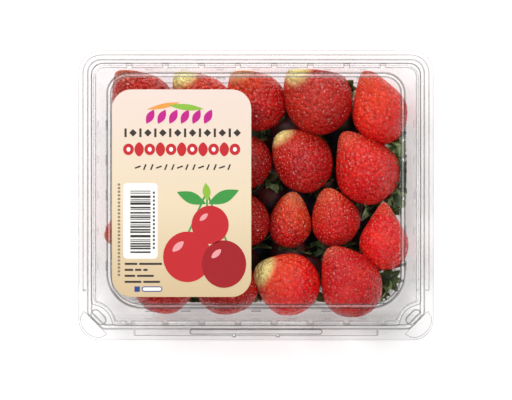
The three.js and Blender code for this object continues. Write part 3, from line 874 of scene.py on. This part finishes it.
# Where sprigs of leaf show between the fruit: across, towards the hinge and height in mm.
SPRIGS = (
    (67, 28, 17), (70, 20, 17), (71, 12, 19), (70, 4, 18), (68, -5, 14), (66, -42, 11),
    (61, -47, 9), (8, 7, 9), (28, 28, 9), (4, 30, 8), (43, 1, 9), (36, -24, 9),
    (29, -27, 7), (-28, -49, 9), (1, -49, 9), (52, -26, 8), (50, 28, 9), (69, 34, 12),
    (44, 53, 18), (-44, 30, 9), (-67, 30, 8), (-67, -31, 8), (50, -5, 8), (58, -5, 10),
)
# The room that a leaf may reach into, before the walls press it back.
LEAF_ROOM_LOW = Vector((-71.5, -53.0, 4)) * MM
LEAF_ROOM_HIGH = Vector((74.0, 56.5, 36)) * MM
LEAF_THICK = 0.3 * MM
PALE_SHARE = 1 / 6
LEAF_SEED = 77


def add_cap(bm, rng, matrix, lean_low, lean_high, long_low, long_high):
    """A whorl of sepals round the origin of a matrix; one in six shows its pale underside."""
    count = rng.randint(7, 9)
    for i in range(count):
        turn = Matrix.Rotation(2 * math.pi * (i + rng.uniform(-0.25, 0.25)) / count, 4, "Z")
        lean = Matrix.Rotation(math.radians(rng.uniform(lean_low, lean_high)), 4, "Y")
        add_sepal(
            bm, matrix @ turn @ lean, rng.uniform(long_low, long_high) * MM,
            rng.uniform(4.0, 5.6) * MM, rng.uniform(0.2, 1.3), rng.uniform(-0.6, 0.6),
            int(rng.random() < PALE_SHARE),
        )


def green_caps():
    """The caps of all the fruit, and the sprigs that show in the gaps."""
    rng = random.Random(LEAF_SEED)
    bm = bmesh.new()
    for fruit, whole in zip(FRUIT, fruit_frames):
        stem = Vector((0, 0, -fruit["length"] / 2 * CAP_DOWN)) * MM
        add_cap(bm, rng, whole @ Matrix.Translation(stem), -5, 40, 9, 14)
    for across, back, up in SPRIGS:
        place = Matrix.Translation(Vector((across, back, up)) * MM)
        tip = Matrix.Rotation(math.radians(rng.uniform(-30, 30)), 4, "X")
        add_cap(bm, rng, place @ tip, -40, 10, 7, 11)
    for v in bm.verts:
        limits = zip(v.co, LEAF_ROOM_LOW, LEAF_ROOM_HIGH)
        v.co = Vector(min(max(c, low), high) for c, low, high in limits)
    lean_on_walls(bm)
    piece = finish_piece("green_caps", bm, [leaf_material, pale_leaf], "tray")
    wall = piece.modifiers.new("leaf_thickness", "SOLIDIFY")
    wall.thickness = LEAF_THICK


green_caps()

# %% [markdown]
# ## Core
# Under and between the fruit the light dies away. A low uneven bed stands for the bruised leaf,
# fruit bottoms and shade down there, so that no gap looks straight through to the table.

# %% Core bed
BED_PATCH = 9 * MM
BED_SEED = 9
LUMPS_PER_FRUIT = 2
# The bed is drawn in from the walls, across and towards the hinge, so that it doesn't show there.
BED_ACROSS = 0.8
BED_ALONG = 0.76


def core_bed():
    """Low lumps of bruised fruit and leaf: damp, painted dark as shade, and without clear detail."""
    material, tree = new_material("shaded_fruit_and_leaf_bed")
    place = add_node(tree, "ShaderNodeTexCoord").outputs["Object"]
    patches = add_node(
        tree, "ShaderNodeTexNoise", {"Scale": 1 / BED_PATCH, "Detail": 3.0}, {"Vector": place}
    ).outputs["Fac"]
    # Painted shade: the bed is coloured far darker than fruit and leaf, for the shade under the
    # fruit.
    tone = ramp(tree, patches, [(0.38, "#2a1012"), (0.5, "#5c0f12"), (0.6, "#20301a")])
    bed = add_node(tree, "ShaderNodeBsdfPrincipled", {"Roughness": 0.55}, {"Base Color": tone})
    add_node(tree, "ShaderNodeOutputMaterial", links={"Surface": bed.outputs[0]})
    rng = random.Random(BED_SEED)
    bm = bmesh.new()
    for fruit in FRUIT:
        for _ in range(LUMPS_PER_FRUIT):
            across = (fruit["x"] + rng.uniform(-13, 13)) * BED_ACROSS
            along = (fruit["y"] + rng.uniform(-12, 12)) * BED_ALONG
            place = Vector((across, along, 0)) * MM
            size = rng.uniform(7, 10) * MM
            rise = size * rng.uniform(0.5, 0.75)
            place.z = PAD_TOP + 0.2 * MM + rise
            shape = Matrix.Translation(place) @ Matrix.Diagonal((size, size, rise, 1))
            bmesh.ops.create_icosphere(bm, subdivisions=3, radius=1, matrix=shape)
    lean_on_walls(bm)
    piece = finish_piece("core_bed", bm, [material], "tray")
    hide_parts("berry_heap")


core_bed()

# %% [markdown]
# ## Label
# The label is a sticker of coated paper, 0.08 mm thick, cream at the top and deeper tan at the
# foot. A real printed sheet would be one image; here each ink is a thin raised shape of its own,
# which stays sharp at any zoom and needs no picture file. A grid, scaled to the CAD label and
# with its corners bevelled as vertices, makes the sheet.

# %% Label sheet
LABEL_LOW, LABEL_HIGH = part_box("label")
LABEL_CORNER = 9.5 * MM
PAPER_THICK = 0.08 * MM
PAPER_GRAIN = 0.6 * MM
CORNER_STEPS = 14


def label_paper():
    """Coated paper with a printed tan fade: satin, and almost smooth."""
    material, tree = new_material("coated_label_paper")
    place = add_node(tree, "ShaderNodeTexCoord").outputs["Object"]
    up = add_node(tree, "ShaderNodeSeparateXYZ", links={0: place}).outputs["Y"]
    share = add_node(
        tree, "ShaderNodeMapRange",
        {"From Min": LABEL_LOW.y, "From Max": LABEL_HIGH.y}, {"Value": up},
    ).outputs[0]
    cream = ramp(tree, share, [(0.0, "#d3ba93"), (0.45, "#e6d4b4"), (1.0, "#e8d5cb")])
    fibre = add_node(
        tree, "ShaderNodeTexNoise", {"Scale": 1 / PAPER_GRAIN, "Detail": 3.0}, {"Vector": place}
    ).outputs["Fac"]
    relief = add_node(
        tree, "ShaderNodeBump", {"Strength": 0.05, "Distance": 0.05 * MM}, {"Height": fibre}
    )
    coat = add_node(
        tree, "ShaderNodeBsdfPrincipled", {"Roughness": 0.5, "Specular IOR Level": 0.3},
        {"Base Color": cream, "Normal": relief.outputs[0]},
    )
    add_node(tree, "ShaderNodeOutputMaterial", links={"Surface": coat.outputs[0]})
    return material


def thicken(bm, up):
    """Turns flat faces into thin slabs by extruding them upwards."""
    made = bmesh.ops.extrude_face_region(bm, geom=bm.faces[:])["geom"]
    top = [v for v in made if isinstance(v, bmesh.types.BMVert)]
    bmesh.ops.translate(bm, vec=(0, 0, up), verts=top)
    bmesh.ops.recalc_face_normals(bm, faces=bm.faces)


middle = (LABEL_LOW + LABEL_HIGH) / 2
bm = bmesh.new()
sheet = Matrix.Translation((middle.x, middle.y, LABEL_LOW.z)) @ Matrix.Diagonal(
    (LABEL_HIGH.x - LABEL_LOW.x, LABEL_HIGH.y - LABEL_LOW.y, 1, 1)
)
bmesh.ops.create_grid(bm, x_segments=1, y_segments=1, size=0.5, matrix=sheet)
bmesh.ops.bevel(
    bm, geom=bm.verts[:], offset=LABEL_CORNER, segments=CORNER_STEPS, profile=0.5,
    affect="VERTICES", material=-1,
)
thicken(bm, PAPER_THICK)
label_sheet = finish_piece("label_sheet", bm, [label_paper()], "lid", smooth=False)
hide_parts("label")

# %% [markdown]
# Ink shapes are placed in the label's own millimetres, from its top left corner, and cut from
# circles and grids. Where inks overlap, each next one lies a layer higher. Each ink is one
# material with a faint unevenness, as a printed solid has.

# %% Inks and print helpers
INK_STEP = 0.025 * MM
INK_THICK = 0.015 * MM
INK_SPECK = 0.8 * MM
INK_THIN = 0.86
# The first layer starts this share of a step above the paper.
INK_START = 0.4
OVAL_STEPS = 40
BAR_CORNER_STEPS = 6


def ink(name, hex_code):
    """A printed solid: dried ink, satin, a little thinner in specks."""
    material, tree = new_material(name)
    place = add_node(tree, "ShaderNodeTexCoord").outputs["Object"]
    speck = add_node(
        tree, "ShaderNodeTexNoise", {"Scale": 1 / INK_SPECK, "Detail": 2.0}, {"Vector": place}
    ).outputs["Fac"]
    full = srgb(hex_code)
    thin = tuple(c * INK_THIN for c in full[:3]) + (1.0,)
    tone = blend_colours(tree, speck, full, thin)
    solid = add_node(
        tree, "ShaderNodeBsdfPrincipled",
        {"Roughness": 0.45, "Specular IOR Level": 0.3}, {"Base Color": tone},
    )
    add_node(tree, "ShaderNodeOutputMaterial", links={"Surface": solid.outputs[0]})
    return material


def ink_place(across, down, wide, tall, turn, layer):
    """The matrix that lays a unit shape on the label, in mm from its top left corner."""
    top = LABEL_LOW.z + PAPER_THICK + INK_STEP * (layer + INK_START)
    spot = Vector((LABEL_LOW.x + across * MM, LABEL_HIGH.y - down * MM, top))
    size = Matrix.Diagonal((wide * MM, tall * MM, 1, 1))
    return Matrix.Translation(spot) @ Matrix.Rotation(math.radians(turn), 4, "Z") @ size


def add_oval(bm, across, down, wide, tall, turn=0, point=0.0, layer=0):
    """An ellipse of ink, pinched to a leaf's two points as point goes from 0 to 1."""
    made = bmesh.ops.create_circle(bm, cap_ends=True, segments=OVAL_STEPS, radius=0.5)["verts"]
    for v in made:
        v.co.y *= 1 - point * (2 * v.co.x) ** 2
    bmesh.ops.transform(bm, matrix=ink_place(across, down, wide, tall, turn, layer), verts=made)


def add_bar(bm, across, down, wide, tall, turn=0, layer=0, corner=0):
    """A bar of ink, with corners rounded to a radius in mm."""
    place = ink_place(across, down, wide, tall, turn, layer)
    made = bmesh.ops.create_grid(bm, x_segments=1, y_segments=1, size=0.5, matrix=place)["verts"]
    if corner:
        bmesh.ops.bevel(
            bm, geom=made, offset=corner * MM, segments=BAR_CORNER_STEPS, profile=0.5,
            affect="VERTICES", material=-1,
        )


def printed(name, material, shapes):
    """Prints shapes in one ink, each given as the function that adds it and its numbers."""
    bm = bmesh.new()
    for add_shape, *numbers in shapes:
        add_shape(bm, *numbers)
    thicken(bm, INK_THICK)
    piece = finish_piece(name, bm, [material], "lid", smooth=False)


red_ink = ink("ink_solid_red", "#c8242c")
deep_red_ink = ink("ink_deep_red", "#a5161f")
pink_ink = ink("ink_soft_pink", "#f0a4a6")
dark_ink = ink("ink_warm_black", "#38312e")
brown_ink = ink("ink_soft_brown", "#8a7864")
green_ink = ink("ink_leaf_green", "#3f9a45")
lime_ink = ink("ink_lime_green", "#8fbf3f")
magenta_ink = ink("ink_magenta", "#c4198a")
orange_ink = ink("ink_orange", "#eda04a")
navy_ink = ink("ink_navy", "#24478c")
white_ink = ink("ink_opaque_white", "#fbfaf6")

# %% [markdown]
# The head of the label has a fan of petals, then a dark bead row, a bold red row and a row of
# small strokes. Rows of small repeated shapes look like print from far off and stay plain
# close up, and each row takes only a short loop.

# %% Head of the label
PETALS = 6
PETAL_PITCH = 5.6
BEADS = 16
BEAD_PITCH = 3.6
STROKES = 14
STROKE_PITCH = 3.4
BOLD_SHAPES = 11
BOLD_PITCH = 5.15
BOLD_DOWN = 29

printed("print_petals", magenta_ink, [
    (add_oval, 18.5 + PETAL_PITCH * i, 13.2, 7.6, 3.7, 62, 0.6) for i in range(PETALS)
])
printed("print_arc_orange", orange_ink, [(add_oval, 25, 8.0, 16, 2.4, 12, 0.7)])
printed("print_arc_lime", lime_ink, [(add_oval, 36, 8.6, 17, 3.0, -6, 0.7, 1)])
beads = []
for i in range(BEADS):
    across = 6.6 + BEAD_PITCH * i
    beads.append((add_bar, across, 21, 2.6, 2.6, 45) if i % 2 else (add_bar, across, 21, 1.1, 4.2))
strokes = [
    (add_bar, 12.5 + STROKE_PITCH * i, 37.6, 2.9, 0.75, 68 if i % 3 else 20) for i in range(STROKES)
]
printed("print_beads", dark_ink, beads + strokes)
bold = []
eyes = []
for i in range(BOLD_SHAPES):
    across = 8.0 + BOLD_PITCH * i
    if i % 2:
        bold.append((add_oval, across, BOLD_DOWN, 6.8, 4.6, 90, 0.25))
    else:
        bold.append((add_oval, across, BOLD_DOWN, 5.2, 5.6))
        eyes.append((add_oval, across, BOLD_DOWN, 1.9, 2.2, 0, 0.0, 1))
printed("print_bold_row", red_ink, bold)
printed("print_bold_row_eyes", white_ink, eyes)
print("head shapes", PETALS + len(beads) + len(strokes) + len(bold) + len(eyes))

# %% [markdown]
# At the left a white box holds a plain bar pattern of random widths, with a column of small
# ticks beside it, short rules below and a navy tile with a pill shape at the foot.

# %% Bars, ticks and rules
BAR_SEED = 4
BARS_TOP = 49.0
BARS_FOOT = 79
BARS_ACROSS = 13.8
TICK_PITCH = 1.75
SIDE_TICK_PITCH = 1.9
RULE_PITCH = 2.9
RULE_LEFT = 6.2
TILE_DOWN = 96.6

rng = random.Random(BAR_SEED)
bars = []
down = BARS_TOP
while down < BARS_FOOT:
    thick = rng.choice((0.4, 0.4, 0.8, 1.2))
    bars.append((add_bar, BARS_ACROSS, down + thick / 2, 9.8, thick, 0, 1))
    down += thick + rng.choice((0.35, 0.6, 0.95))
printed("print_bar_ground", white_ink, [(add_bar, BARS_ACROSS, 63.6, 16.6, 36.6, 0, 0, 1.8)])
rules = [(add_bar, 20.3, 50 + SIDE_TICK_PITCH * i, 0.9, 1.1, 0, 1) for i in range(15)]
for row, lengths in enumerate(((6, 11), (4, 3, 2), (5, 8), (8, 8))):
    left = RULE_LEFT
    for length in lengths:
        rules.append((add_bar, left + length / 2, 84.4 + RULE_PITCH * row, length, 1.0))
        left += length + 1.0
printed("print_bars", dark_ink, bars + rules)
printed("print_ticks", brown_ink, [
    (add_bar, 3.4, 46 + TICK_PITCH * i, 1.2, 1.0) for i in range(26)
])
printed("print_tile", navy_ink, [
    (add_bar, 12.2, TILE_DOWN, 2.6, 2.6), (add_bar, 19.4, TILE_DOWN, 10, 2.6, 0, 0, 1.25),
])
printed("print_pill", white_ink, [(add_bar, 19.4, TILE_DOWN, 9, 1.7, 0, 1, 0.8)])
print("bars", len(bars), "rules and side ticks", len(rules))

# %% [markdown]
# The picture is a plain bunch: three round fruit on stalks under a spray of leaves. Each has a
# pale glint, and overlaps are printed a layer higher.

# %% Bunch of round fruit
printed("print_stalks", green_ink, [
    (add_bar, 40.5, 61.5, 24, 0.9, 66), (add_bar, 51.0, 62.5, 26, 0.9, 112),
    (add_bar, 46, 56, 12, 0.9, 90),
])
printed("print_fruit_left", red_ink, [(add_oval, 36.5, 81, 23.5, 24.5, 0, 0.0, 1)])
printed("print_fruit_right", deep_red_ink, [(add_oval, 54.2, 84.5, 21.5, 23, 0, 0.0, 2)])
printed("print_fruit_top", red_ink, [(add_oval, 47.5, 65.5, 18, 18.5, 0, 0.0, 2)])
printed("print_glints", pink_ink, [
    (add_oval, 32, 76, 7.0, 3.2, 42, 0.3, 3), (add_oval, 50.5, 79.5, 6.0, 2.8, 42, 0.3, 3),
    (add_oval, 44.4, 61.8, 5.0, 2.3, 42, 0.3, 3),
])
printed("print_leaves", green_ink, [
    (add_oval, 38.5, 52.5, 15, 5.6, 158, 0.7, 1), (add_oval, 54.0, 52.0, 16, 6.0, 24, 0.7, 1),
])
printed("print_leaves_lime", lime_ink, [(add_oval, 45.8, 49.5, 8.5, 3.8, 96, 0.7, 2)])
